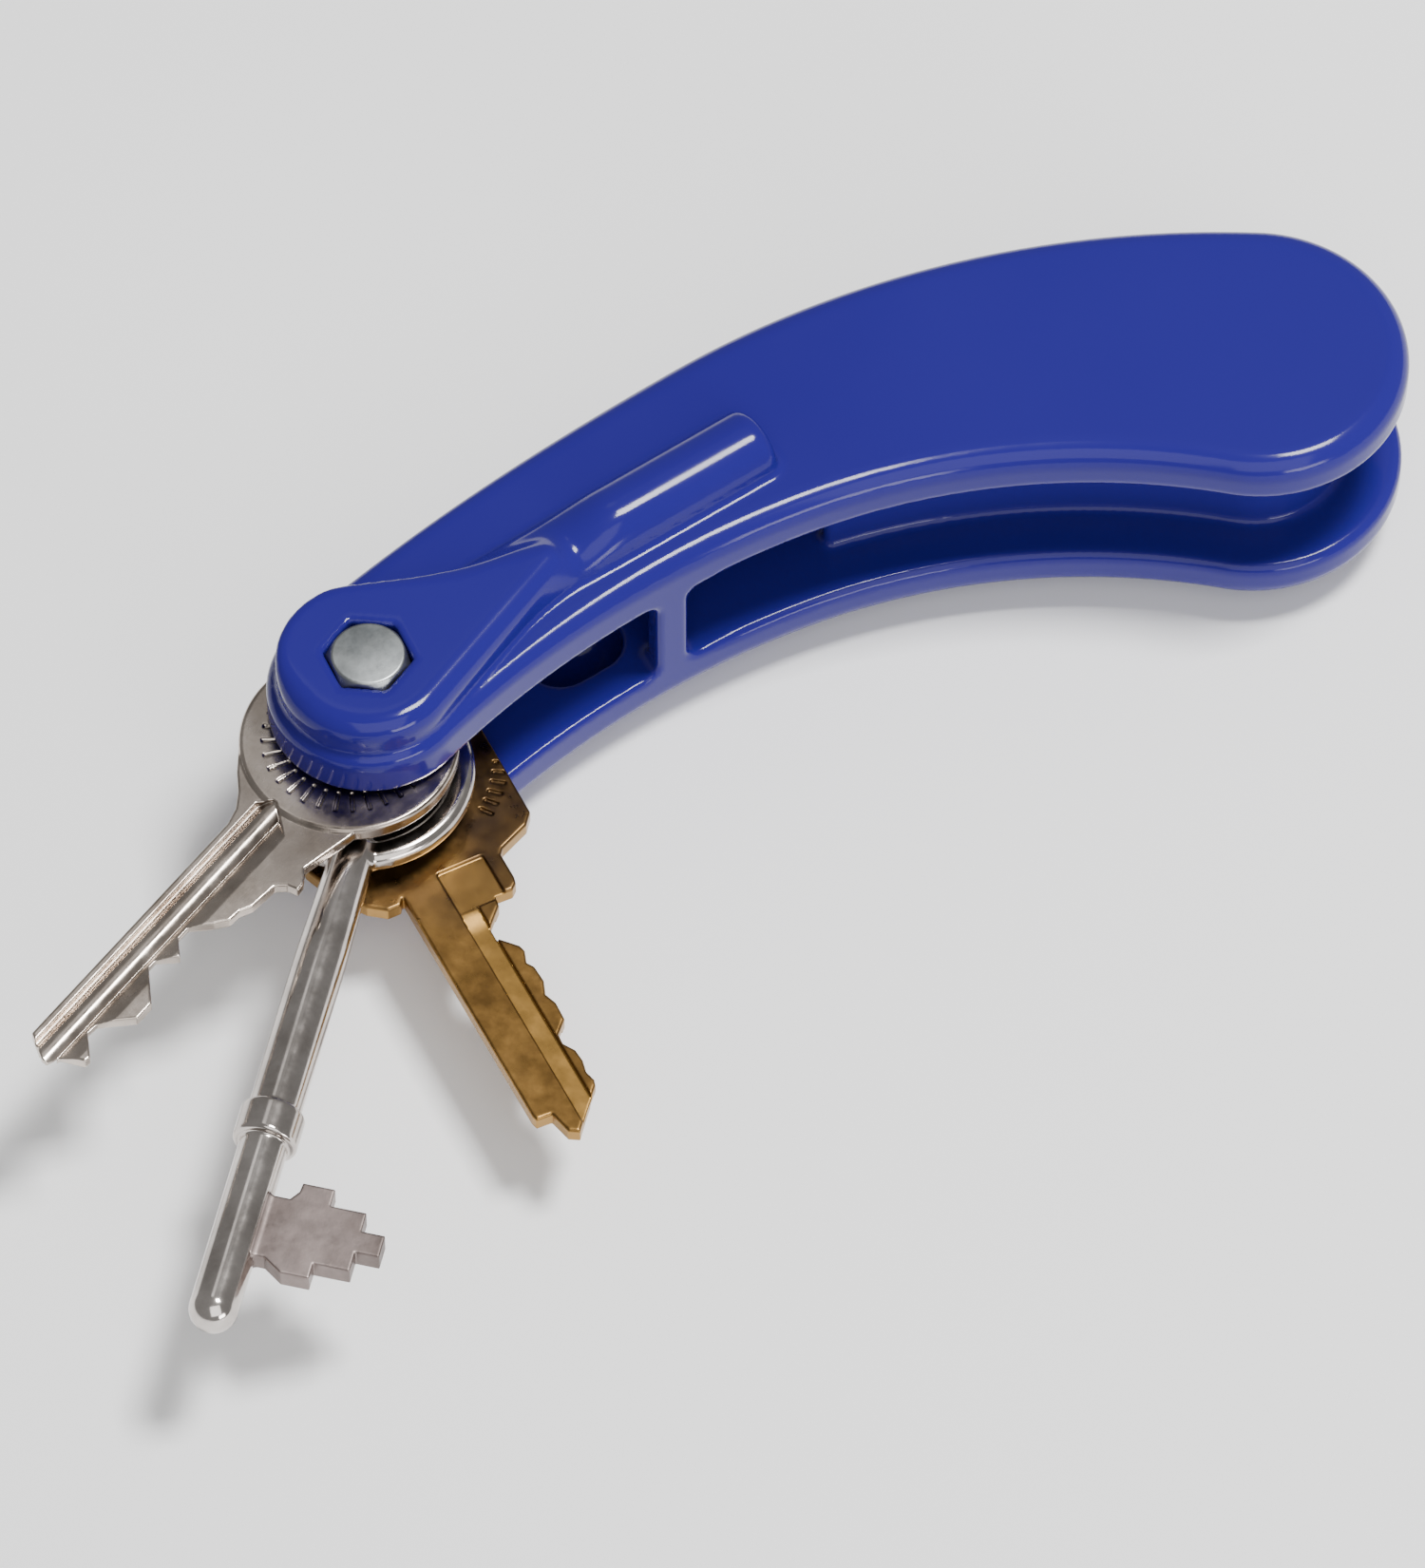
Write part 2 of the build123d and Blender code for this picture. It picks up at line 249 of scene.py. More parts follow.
def mesh_field(name, field, low, high, step):
    """A closed mesh of the surface where the field is zero, by surface nets."""
    axes = [np.arange(low[a] - step, high[a] + 2 * step, step) for a in range(3)]
    shape = tuple(len(a) for a in axes)
    grid = field(axes[0][:, None, None], axes[1][None, :, None], axes[2][None, None, :])
    f = np.array(np.broadcast_to(grid, shape))
    inside = f < 0
    corners = [inside[a : a + shape[0] - 1, b : b + shape[1] - 1, c : c + shape[2] - 1]
               for a in (0, 1) for b in (0, 1) for c in (0, 1)]
    mixed = np.logical_or.reduce(corners) & ~np.logical_and.reduce(corners)
    cells = np.argwhere(mixed)
    index = np.full(mixed.shape, -1)
    index[mixed] = np.arange(len(cells))
    points = onto_surface(field, crossing_points(f, axes, cells), step)
    faces = cell_faces(inside, index)
    mesh = bpy.data.meshes.new(name)
    mesh.vertices.add(len(points))
    mesh.vertices.foreach_set("co", (points * MM).astype(np.float32).ravel())
    mesh.loops.add(faces.size)
    mesh.loops.foreach_set("vertex_index", faces.astype(np.int32).ravel())
    mesh.polygons.add(len(faces))
    mesh.polygons.foreach_set("loop_start", np.arange(0, faces.size, 4, dtype=np.int32))
    mesh.update(calc_edges=True)
    mesh.shade_smooth()
    return mesh


def piece(node, body, material, field, low, high, step, turn=0.0, lift=0.0):
    """Makes a piece from its field, in place of a CAD node, and lets it ride on a body."""
    mesh = mesh_field(node + "_detail", field, low, high, step)
    obj = bpy.data.objects.new(node + "_detail", mesh)
    bpy.context.scene.collection.objects.link(obj)
    rotation = Matrix.Rotation(math.radians(turn), 4, "Z")
    obj.matrix_world = Matrix.Translation((0, 0, lift * MM)) @ rotation
    mesh.materials.append(material)
    bpy.context.view_layer.update()
    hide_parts(node)
    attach(obj, body)
    return obj


# ---------------------------------------------------------------- handle
def crest_arc(crest, side):
    """Centre and radius of the arc with this crest that is tangent to the paddle's circle."""
    dx, dy = PADDLE[0] - crest[0], PADDLE[1] - crest[1]
    radius = (dx * dx + dy * dy - PADDLE_R**2) / (-2 * (dy + side * PADDLE_R))
    return np.array((crest[0], crest[1] - radius)), radius


def arc_to_boss(point, centre, side):
    """Centre and radius of the arc that goes on from another at a point to the boss's circle."""
    normal = (point - centre) / np.hypot(*(point - centre))
    radius = (point @ point - BOSS_R**2) / (2 * (normal @ point - side * BOSS_R))
    return point - normal * radius, radius


def outline_arcs():
    """The outline's six arcs, as (centre, radius, side, start angle, sweep), counter-clockwise."""
    boss, paddle = np.zeros(2), np.array(PADDLE)
    crest = np.array(CONCAVE_CREST)
    far_right, far_right_r = crest_arc(CONVEX_CREST, 1)
    rise = math.sqrt(far_right_r**2 - (CONVEX_JOIN_X - far_right[0]) ** 2)
    join = np.array((CONVEX_JOIN_X, far_right[1] + rise))
    far_left, far_left_r = arc_to_boss(join, far_right, 1)
    near_right, near_right_r = crest_arc(CONCAVE_CREST, -1)
    near_left, near_left_r = arc_to_boss(crest, near_right, -1)

    def angle(v):
        return math.atan2(v[1], v[0])

    def arc(centre, radius, side, start, end):
        return centre, radius, side, start, (end - start) % (2 * math.pi)

    return [
        arc(boss, BOSS_R, 1, angle(boss - far_left), angle(near_left)),
        arc(near_left, near_left_r, -1, angle(crest - near_left), angle(-near_left)),
        arc(near_right, near_right_r, -1, angle(paddle - near_right), angle(crest - near_right)),
        arc(paddle, PADDLE_R, 1, angle(near_right - paddle), angle(paddle - far_right)),
        arc(far_right, far_right_r, 1, angle(paddle - far_right), angle(join - far_right)),
        arc(far_left, far_left_r, 1, angle(join - far_left), angle(boss - far_left)),
    ]


ARCS = outline_arcs()
CONCAVE_ARC, PADDLE_ARC = ARCS[2], ARCS[3]


def outline(x, y):
    """Distance to the handle's outline, from whichever arc is nearest."""
    nearest = np.full(np.broadcast(x, y).shape, 1e3)
    overlap = 1e-4
    for centre, radius, side, start, sweep in ARCS:
        dx, dy = x - centre[0], y - centre[1]
        away = (np.arctan2(dy, dx) - start + overlap) % (2 * math.pi)
        off = side * (np.hypot(dx, dy) - radius)
        nearer = (away <= sweep + 2 * overlap) & (np.abs(off) < np.abs(nearest))
        nearest = np.where(nearer, off, nearest)
    return nearest


def land(x, y):
    """Teardrop around the bolt; its far side draws in with a concave curve."""
    length = math.hypot(*LAND_TIP)
    along, across = turned(x, y, math.degrees(math.atan2(LAND_TIP[1], LAND_TIP[0])))
    lean = (LAND_R - LAND_TIP_R) / length
    rise = math.sqrt(1 - lean * lean)
    side = np.abs(across)
    foot = side * -lean + along * rise
    straight = side * rise + along * lean - LAND_R
    drop = np.where(foot < 0, np.hypot(along, side) - LAND_R, straight)
    drop = np.where(foot > rise * length, np.hypot(along - length, side) - LAND_TIP_R, drop)
    waist = smooth(along, 0, 11) * smooth(along, 13, 24, 1, 0) * smooth(across, 0, 3)
    return drop + LAND_WAIST * waist


def ridge(along, across, t):
    """Half-round bar with a flat end; its crest sinks towards the land."""
    height = LAND_H - smooth(along, *RIDGE_DIP_X, RIDGE_DIP, 0)
    up = (t - FACE + RIDGE_SUNK) * RIDGE_R / (height + RIDGE_SUNK)
    bar = np.hypot(across, up) - RIDGE_R
    bar = np.maximum(bar, RIDGE_START - along)
    return both(bar, along - RIDGE_END, RIDGE_END_R)


def channel(along, across, t):
    """Hollow in the cheek's inner face, behind the ridge."""
    off = slot(along, across, (CHANNEL_X[0], 0), (CHANNEL_X[1], 0), 0.0)
    return np.hypot(off, np.maximum(t - CHEEK_GAP / 2 - CHANNEL_DEPTH, 0)) - CHANNEL_R


def web(x, y):
    """Thin wall that follows the concave edge and goes round the wide end."""
    inset = WEB_INSET + WEB_T / 2
    concave, concave_r, _, concave_angle, _ = CONCAVE_ARC
    paddle, paddle_r, _, paddle_angle, _ = PADDLE_ARC
    concave_r += inset
    ahead = WEB_START_X - concave[0]
    start = math.atan2(math.sqrt(concave_r**2 - ahead**2), ahead)
    walls = [
        (concave, concave_r, concave_angle, start),
        (paddle, paddle_r - inset, paddle_angle, math.radians(WEB_END_ANGLE)),
    ]
    nearest = np.full(np.broadcast(x, y).shape, 1e3)
    for centre, radius, first, last in walls:
        dx, dy = x - centre[0], y - centre[1]
        away = (np.arctan2(dy, dx) - first) % (2 * math.pi)
        off = np.abs(np.hypot(dx, dy) - radius)
        nearest = np.where(away <= last - first, np.minimum(off, nearest), nearest)
        for a in (first, last):
            end = np.hypot(dx - radius * math.cos(a), dy - radius * math.sin(a))
            nearest = np.minimum(end, nearest)
    return nearest - WEB_T / 2


def handle(x, y, z):
    """Two mirrored cheeks, joined by the pillar and the web; t is the height from the middle."""
    t = np.abs(z - MIDDLE)
    along, across = turned(x, y, RIDGE_ANGLE)
    across = across - RIDGE_OFFSET
    post = rectangle(x, y, *PILLAR_X, PILLAR_FOOT, PILLAR_TOP, PILLAR_CORNER_R)
    filled = either(CHEEK_GAP / 2 - t, post, PILLAR_FILLET)
    filled = either(filled, web(x, y), WEB_FILLET)
    filled = both(filled, -channel(along, across, t), 0.5)
    outer = both(outline(x, y), t - FACE, smooth(x, 8, 45, EDGE_R_BOSS, EDGE_R))
    land_edge = smooth(across, -2, 6, LAND_EDGE_R, LAND_EDGE_R_FAR)
    relief = both(land(x, y), t - MIDDLE, land_edge)
    relief = either(ridge(along, across, t), relief, RELIEF_FILLET)
    outer = either(outer, relief, smooth(x, 12, 30, 0.3, 0.8))
    body = both(outer, filled, smooth(x, 36, 44, 0.6, 1.2))
    recess = hexagon(x, y, RECESS_AF, 0)
    body = both(body, -np.maximum(recess, HEAD_SEAT - z), 0.3)
    body = both(body, -np.maximum(recess, z - NUT_SEAT), 0.3)
    return np.maximum(body, HOLE_D / 2 - np.hypot(x, y))


# ---------------------------------------------------------------- bolt, nut and washers
def thread(x, y, z, radius, pitch=0.8, depth=0.45):
    """Cylinder with a helical V thread."""
    turn = np.arctan2(y, x) / (2 * math.pi)
    phase = (z / pitch - turn) % 1.0
    return (np.hypot(x, y) - radius + depth * 2 * np.abs(phase - 0.5)) * 0.7


def bolt(x, y, z):
    """Hexagon head with a turned, slightly domed crown; the shank's end is threaded."""
    r = np.hypot(x, y)
    head = both(hexagon(x, y, HEX_AF, HEAD_TURN), cone(r - CROWN_R, z - HEAD_TOP, (0.87, 0.5)), 0.12)
    dome = z - HEAD_TOP + 0.012 * r * r
    head = both(head, dome, 0.12)
    head = both(head, HEAD_SEAT - z, 0.1)
    shank = np.where(z < THREAD_END, thread(x, y, z, BOLT_D / 2), r - BOLT_D / 2)
    shank = np.maximum(shank, cone(r - 2.0, -z, (0.7, 0.7)))
    shank = np.maximum(np.maximum(shank, -z), z - HEAD_SEAT - 1)
    return either(head, shank, 0.15)


def nut(x, y, z):
    """Hexagon with chamfered corners and a round collar that holds the insert."""
    r = np.hypot(x, y)
    hex_start = NUT_SUNK + COLLAR_H
    flats = both(hexagon(x, y, HEX_AF, 0), hex_start - z, 0.1)
    flats = both(flats, cone(r - 4.1, z - NUT_SEAT, (0.5, 0.85)), 0.1)
    flats = both(flats, cone(r - 4.0, hex_start - z, (0.5, 0.85)), 0.1)
    collar = both(r - 3.8, NUT_SUNK - z, 0.3)
    body = both(either(flats, collar, 0.2), z - NUT_SEAT, 0.1)
    body = np.maximum(body, BOLT_D / 2 + 0.02 - r)
    pocket = np.maximum(r - INSERT_R, z - NUT_SUNK - INSERT_H)
    return both(body, -pocket, 0.1)


def nut_insert(x, y, z):
    """Nylon ring inside the nut's collar."""
    r = np.hypot(x, y)
    ring = both(r - INSERT_R + 0.02, BOLT_D / 2 + 0.02 - r, 0.15)
    return both(ring, slab(z, NUT_SUNK + 0.1, NUT_SUNK + INSERT_H), 0.15)


def washers(levels, thickness):
    """Field of flat rings that start at these levels."""

    def rings(x, y, z):
        r = np.hypot(x, y)
        flat = np.minimum.reduce([slab(z, level, level + thickness) for level in levels])
        return both(both(r - WASHER_R, HOLE_D / 2 - r, 0.1), flat, 0.12)

    return rings


# ---------------------------------------------------------------- keys
NICKEL_OUTLINE = [
    (8, -9.2), (10.6, -9.0), (12.2, -7.9), (14.2, -6.5), (16.0, -4.9), (17.8, -3.8), (19.8, -3.3),
    (52.0, -3.3), (53.8, -0.6), (53.9, 0.1), (52.4, 0.7), (51.4, 3.2), (50.7, 3.3), (48.4, 1.1),
    (47.0, 1.2), (44.1, 4.2), (41.8, 4.2), (38.4, 1.1), (37.3, 1.1), (35.6, 3.0), (33.8, 1.3),
    (32.2, 1.3), (30.4, 3.2), (29.0, 4.3), (27.6, 4.4), (26.3, 5.1), (23.0, 5.4), (22.1, 6.4),
    (21.9, 7.6), (20.9, 7.5), (19.4, 6.5), (8, 9.0),
]
NICKEL_BOW = (4.1, 0.4)
NICKEL_BOW_R = 11.5
NICKEL_BLADE_INSET = 0.3
NICKEL_LANE_START = 14.8
NICKEL_LANE_SIDES = (-2.5, 2.4)
NICKEL_LANE_DEPTH = 0.75
NICKEL_BEAD_Y = -0.8
NICKEL_BEAD_R = 1.5
NICKEL_STROKES_R = 7.9

BIT_OUTLINE = [
    (56.9, 1.5), (56.9, 4.4), (55.9, 5.1), (54.8, 5.2), (54.8, 8.7), (56.8, 8.7), (56.8, 12.5),
    (59.0, 12.5), (59.0, 15.0), (61.7, 15.0), (61.7, 12.5), (64.0, 12.5), (64.0, 8.7),
    (65.8, 8.7), (65.8, 5.6), (64.4, 3.6), (64.4, 1.5),
]
MORTICE_BOW = (4.0, -0.2)
MORTICE_BOW_R = 12.0
MORTICE_DISH_R = 9.6
MORTICE_DISH_DEPTH = 0.35
STEM_START = 12.5
STEM_NECK_R = 2.35
STEM_R = 2.75
STEM_COLLAR_X = (46.7, 50.7)
STEM_COLLAR_R = 3.4
STEM_END_X = 70.75
STEM_END_R = 2.55
BRAZE_WIDTH = 1.9

BRASS_OUTLINE = [
    (-9.5, -6.5), (-7.8, -10.5), (-4.0, -12.2), (9.0, -12.2), (13.0, -10.7), (16.0, -8.5),
    (17.4, -6.7), (17.4, -5.2), (16.8, -4.7), (46.7, -4.7), (47.4, -4.5), (47.5, -2.8),
    (50.0, -2.2), (50.7, -1.1), (48.4, 0.9), (46.3, 2.9), (45.6, 3.1), (44.4, 2.8), (43.0, 3.1),
    (41.5, 3.0), (40.2, 2.2), (39.0, 2.3), (37.6, 3.7), (35.4, 3.8), (34.0, 3.3), (32.4, 3.9),
    (30.4, 3.8), (29.6, 3.3), (28.2, 3.8), (27.4, 3.6), (25.5, 1.9), (24.0, 1.9), (22.0, 3.9),
    (20.8, 4.1), (20.9, 6.0), (20.3, 6.7), (19.5, 6.9), (16.4, 6.9), (15.8, 7.4), (14.3, 10.9),
    (13.0, 12.0), (-4.0, 12.2), (-7.8, 10.5), (-9.5, 6.5),
]
BRASS_GROOVE_START = 20.6
BRASS_GROOVE_SIDES = (-0.3, 1.9)
BRASS_GROOVE_DEPTH = 0.6
BRASS_STEP_X = (15.6, 21.2)
BRASS_STEP_SIDES = (-0.3, 5.1)
BRASS_STEP_DEPTH = 0.3
BRASS_STROKES_R = 13.4
BRASS_STROKES_Y = (7.4, 11.8)
PAST_TIP = 60.0


def stroke_ring(x, y, pitch_degrees):
    """Radius, and how far each point is from the nearest of the evenly spaced radial lines."""
    r = np.hypot(x, y)
    pitch = math.radians(pitch_degrees)
    return r, np.abs((np.arctan2(y, x) / pitch) % 1.0 - 0.5) * pitch * r


def nickel_key(x, y, z):
    """Blade along +X; the bow is a slightly raised disc with a ring of strokes."""
    blade_top = BLADE_T - NICKEL_BLADE_INSET
    plate = both(polygon(x, y, NICKEL_OUTLINE), slab(z, NICKEL_BLADE_INSET, blade_top), 0.18)
    r, swing = stroke_ring(x - NICKEL_BOW[0], y - NICKEL_BOW[1], 11.5)
    bow = both(r - NICKEL_BOW_R, slab(z, 0, BLADE_T), 0.45)
    key = np.minimum(plate, bow)
    lane = rectangle(x, y, NICKEL_LANE_START, PAST_TIP, *NICKEL_LANE_SIDES, 0.05)
    floor = blade_top - NICKEL_LANE_DEPTH + np.maximum(y - 0.55, 0) * 0.42
    bead = np.hypot(y - NICKEL_BEAD_Y, z - blade_top + NICKEL_BEAD_R) - NICKEL_BEAD_R
    milled = np.maximum(np.maximum(lane, floor - z), -bead)
    entry = (NICKEL_LANE_START - 0.2 + np.abs(y + 1.0) * 0.9 - x) * 0.5
    key = both(key, -np.maximum(milled, entry), 0.06)
    under = slot(x, y, (18, -0.4), (PAST_TIP, -0.4), 0.9)
    key = both(key, -np.maximum(under, z - 0.9), 0.08)
    strokes = np.maximum(np.abs(r - NICKEL_STROKES_R) - 1.2, swing - 0.2)
    key = both(key, -np.maximum(strokes, BLADE_T - 0.14 - z), 0.05)
    return np.maximum(key, KEY_BORE_R - np.hypot(x, y))


def stem(x, y, z):
    """Turned stem with a collar and a ball tip."""
    off = np.hypot(y - STEM_OFFSET, z)
    upper = both(off - smooth(x, 12, 30, STEM_NECK_R, STEM_R), x - 50, 0.2)
    upper = both(upper, STEM_START - x, 1.0)
    lower = np.hypot(off, np.maximum(x - STEM_END_X, 0)) - STEM_END_R
    lower = np.maximum(lower, 49 - x)
    collar = both(off - STEM_COLLAR_R, slab(x, *STEM_COLLAR_X), 0.45)
    return either(np.minimum(upper, lower), collar, 0.25)


def mortice_shank(x, y, z):
    """Round bow on the bolt, and a turned stem beside the bolt's line."""
    r = np.hypot(x - MORTICE_BOW[0], y - MORTICE_BOW[1])
    from_bolt = np.hypot(x, y)
    bow = both(r - MORTICE_BOW_R, np.abs(z) - BOW_T / 2, 1.1)
    dish = both(r - MORTICE_DISH_R, KEY_BORE_R + 1.02 - from_bolt, 0.4)
    dish_floor = BOW_T / 2 - MORTICE_DISH_DEPTH
    bow = both(bow, -np.maximum(dish, dish_floor - np.abs(z)), 0.3)
    key = either(bow, stem(x, y, z), 0.5)
    return np.maximum(key, KEY_BORE_R - from_bolt)


def mortice_bit(x, y, z):
    """Flat stepped bit, brazed along the stem."""
    plate = polygon(x, y - STEM_OFFSET, BIT_OUTLINE)
    plate = both(plate + 0.06, np.abs(z) - BIT_T / 2, 0.14)
    round_stem = np.hypot(y - STEM_OFFSET, z) - 2.5
    braze = np.maximum(round_stem, STEM_OFFSET + BRAZE_WIDTH - y)
    return np.maximum(either(plate, braze, 0.6), -round_stem)


def brass_key(x, y, z):
    """Broad bow and a milled blade along +X."""
    key = both(polygon(x, y, BRASS_OUTLINE) + 0.05, slab(z, 0, BLADE_T), 0.3)
    floor = BLADE_T - smooth(x, BRASS_GROOVE_START, 24, 0.25, BRASS_GROOVE_DEPTH)
    groove = rectangle(x, y, BRASS_GROOVE_START, PAST_TIP, *BRASS_GROOVE_SIDES, 0.05)
    groove = np.maximum(groove, (floor - z) * 0.95)
    step = rectangle(x, y, *BRASS_STEP_X, *BRASS_STEP_SIDES, 0.3)
    step = np.maximum(step, BLADE_T - BRASS_STEP_DEPTH - z)
    key = both(key, -np.minimum(groove, step), 0.08)
    under = rectangle(x, y, 17, PAST_TIP, 1.6, 3.0, 0.3)
    key = both(key, -np.maximum(under, z - 0.6), 0.06)
    r, swing = stroke_ring(x, y, 5.5)
    strokes = both(np.abs(r - BRASS_STROKES_R) - 0.8, swing - 0.22, 0.15)
    strokes = np.maximum(strokes, slab(y, *BRASS_STROKES_Y))
    key = both(key, -np.maximum(strokes, BLADE_T - 0.22 - z), 0.06)
    return np.maximum(key, KEY_BORE_R - r)


# ---------------------------------------------------------------- materials
class Nodes:
    """Short names for adding and joining a material's nodes."""

    def __init__(self, name):
        self.material = bpy.data.materials.new(name)
        self.material.use_nodes = True
        self.tree = self.material.node_tree
        self.shader = self.tree.nodes["Principled BSDF"]
        self.place = self.add("ShaderNodeTexCoord").outputs["Object"]

    def add(self, kind, **values):
        """New node; each value goes to the input of that name, or else to the setting."""
        node = self.tree.nodes.new(kind)
        for key, value in values.items():
            if key in node.inputs:
                node.inputs[key].default_value = value
            else:
                setattr(node, key, value)
        return node

    def join(self, output, to):
        self.tree.links.new(output, to)

    def noise(self, scale, detail=3.0, roughness=0.5, stretch=(1, 1, 1)):
        """Noise over the piece's own coordinates; scale is in waves per millimetre."""
        mapping = self.add("ShaderNodeMapping")
        mapping.inputs["Scale"].default_value = [scale / MM * s for s in stretch]
        self.join(self.place, mapping.inputs["Vector"])
        noise = self.add("ShaderNodeTexNoise", Scale=1.0, Detail=detail, Roughness=roughness)
        self.join(mapping.outputs["Vector"], noise.inputs["Vector"])
        return noise.outputs["Fac"]

    def ramp(self, value, *stops):
        """Colours or levels at positions from 0 to 1."""
        ramp = self.add("ShaderNodeValToRGB")
        elements = ramp.color_ramp.elements
        while len(elements) < len(stops):
            elements.new(0.5)
        for element, (position, colour) in zip(elements, stops):
            element.position = position
            element.color = (*colour, 1) if isinstance(colour, tuple) else (colour, colour, colour, 1)
        self.join(value, ramp.inputs["Fac"])
        return ramp.outputs["Color"]

    def mix(self, factor, a, b):
        """Colour a where the factor is 0 and b where it is 1."""
        mix = self.add("ShaderNodeMix", data_type="RGBA")
        self.join(factor, mix.inputs[0])
        for socket, value in ((mix.inputs[6], a), (mix.inputs[7], b)):
            if isinstance(value, tuple):
                socket.default_value = (*value, 1)
            else:
                self.join(value, socket)
        return mix.outputs[2]

    def bumps(self, *layers):
        """Bump from layers of (height, strength, distance in millimetres)."""
        normal = None
        for height, strength, distance in layers:
            bump = self.add("ShaderNodeBump", Strength=strength, Distance=distance * MM)
            self.join(height, bump.inputs["Height"])
            if normal:
                self.join(normal, bump.inputs["Normal"])
            normal = bump.outputs["Normal"]
        self.join(normal, self.shader.inputs["Normal"])


def plastic():
    """Glossy moulded plastic with a faint ripple, small scuffs and an uneven gloss."""
    n = Nodes("handle_plastic")
    shade = n.noise(0.012, 3)
    colour = n.ramp(shade, (0.3, (0.0145, 0.0095, 0.145)), (0.7, (0.0165, 0.0118, 0.160)))
    n.join(colour, n.shader.inputs["Base Color"])
    rough = n.ramp(n.noise(0.09, 5), (0.35, 0.10), (0.75, 0.17))
    n.join(rough, n.shader.inputs["Roughness"])
    n.shader.inputs["IOR"].default_value = 1.49
    n.shader.inputs["Specular IOR Level"].default_value = 0.2
    scuff = n.ramp(n.noise(1.1, 2, stretch=(0.12, 1, 1)), (0.62, 0.0), (0.72, 1.0))
    n.bumps((n.noise(0.05, 2), 0.25, 0.08), (n.noise(2.2, 2), 0.10, 0.004), (scuff, 0.05, 0.004))
    return n.material


def shade_painted_near_bolt(n, colour, painted_shade, reach=0.06):
    """The colour, mixed with a painted shade up to an uneven line about this far from the bolt, where
    the cheeks shade the keys.
    """
    distance = n.add("ShaderNodeVectorMath", operation="LENGTH")
    n.join(n.place, distance.inputs[0])
    uneven = n.add("ShaderNodeMath", operation="MULTIPLY_ADD")
    n.join(distance.outputs["Value"], uneven.inputs[0])
    uneven.inputs[1].default_value = 1 / reach
    n.join(n.noise(0.12, 2), uneven.inputs[2])
    return n.mix(n.ramp(uneven.outputs[0], (0.6, 0.9), (1.0, 0.0)), colour, painted_shade)


def lighter_in_cuts(n, colour, milled):
    """The colour, with the milled one wherever a key's surface is below its upper face."""
    height = n.add("ShaderNodeSeparateXYZ")
    n.join(n.place, height.inputs[0])
    level = n.add("ShaderNodeMath", operation="MULTIPLY")
    n.join(height.outputs["Z"], level.inputs[0])
    level.inputs[1].default_value = 1 / (BLADE_T * MM)
    return n.mix(n.ramp(level.outputs[0], (0.82, 0.9), (0.88, 0.0)), colour, milled)


def metal(name, dark, light, rough, scratch=(0.12, 1, 1), grain=3.0, scratches=0.25, dents=0.2,
          painted_shade=None, milled=None):
    """Plated or rolled metal: patchy tone, fine scratches one way, small dents.

    A second colour, if given, is painted shade that darkens it towards the bolt, where the cheeks
    shade the keys; milled is the colour of cuts below the face.
    """
    n = Nodes(name)
    n.shader.inputs["Metallic"].default_value = 1.0
    colour = n.ramp(n.noise(0.16, 5, 0.6), (0.32, dark), (0.68, light))
    # Painted shade: darker towards the bolt, where the cheeks shade the keys.
    if painted_shade:
        colour = shade_painted_near_bolt(n, colour, painted_shade)
    if milled:
        colour = lighter_in_cuts(n, colour, milled)
    n.join(colour, n.shader.inputs["Base Color"])
    lines = n.noise(grain, 3, 0.6, scratch)
    blotch = n.noise(0.5, 4, 0.6)
    n.join(n.ramp(blotch, (0.3, rough[0]), (0.75, rough[1])), n.shader.inputs["Roughness"])
    n.bumps((lines, scratches, 0.01), (n.noise(0.9, 3), dents, 0.02))
    return n.material


def nylon():
    """Dull off-white nylon."""
    n = Nodes("insert_nylon")
    colour = n.ramp(n.noise(0.6, 3), (0.3, (0.62, 0.62, 0.58)), (0.7, (0.72, 0.72, 0.68)))
    n.join(colour, n.shader.inputs["Base Color"])
    n.join(n.ramp(n.noise(1.5, 3), (0.3, 0.4), (0.7, 0.55)), n.shader.inputs["Roughness"])
    n.bumps((n.noise(3.0, 3), 0.2, 0.01))
    return n.material


# ---------------------------------------------------------------- camera
def make_camera():
    """Telephoto view from the near left, 56 degrees above the table."""
    azimuth, elevation, distance = math.radians(-25.0), math.radians(56.0), 1.2103
    aim = Vector((0.0300, -0.0198, 0.016))
    flat = math.cos(elevation)
    back = Vector((math.sin(azimuth) * flat, -math.cos(azimuth) * flat, math.sin(elevation)))
    data = bpy.data.cameras.new("camera")
    data.lens = 267.0
    data.sensor_width = 36.0
    data.clip_end = 10.0
    camera = bpy.data.objects.new("camera", data)
    camera.location = aim + back * distance
    camera.rotation_mode = "QUATERNION"
    camera.rotation_quaternion = (-back).to_track_quat("-Z", "Y")
    bpy.context.scene.collection.objects.link(camera)
    bpy.context.scene.camera = camera


# ---------------------------------------------------------------- lights and floor
def area_light(name, direction, distance, size, watts):
    """Rectangular light that faces the handle from this direction; sizes are in metres."""
    target = Vector((0.04, 0.0, 0.016))
    data = bpy.data.lights.new(name, "AREA")
    data.shape = "RECTANGLE"
    data.size, data.size_y = size
    data.energy = watts
    light = bpy.data.objects.new(name, data)
    light.location = target + Vector(direction).normalized() * distance
    light.rotation_mode = "QUATERNION"
    light.rotation_quaternion = (target - light.location).to_track_quat("-Z", "Y")
    bpy.context.scene.collection.objects.link(light)
    return light


def overhead_light(name, distance, across, up, size, turn, watts):
    """Dim light that the flat upper faces mirror to the camera; its edge crosses the handle.

    across and up move it, as the camera sees its reflection, and turn tilts that edge.
    """
    right = Vector((0.906, -0.423, 0))
    mirrored = Vector((0.236, 0.507, 0.829)).normalized()
    ahead = mirrored.cross(right)
    light = area_light(name, mirrored, distance, size, watts)
    light.location += right * across + ahead * up
    x_axis = right * math.cos(math.radians(turn)) + ahead * math.sin(math.radians(turn))
    axes = Matrix((x_axis, mirrored.cross(x_axis), mirrored)).transposed()
    light.rotation_quaternion = axes.to_quaternion()


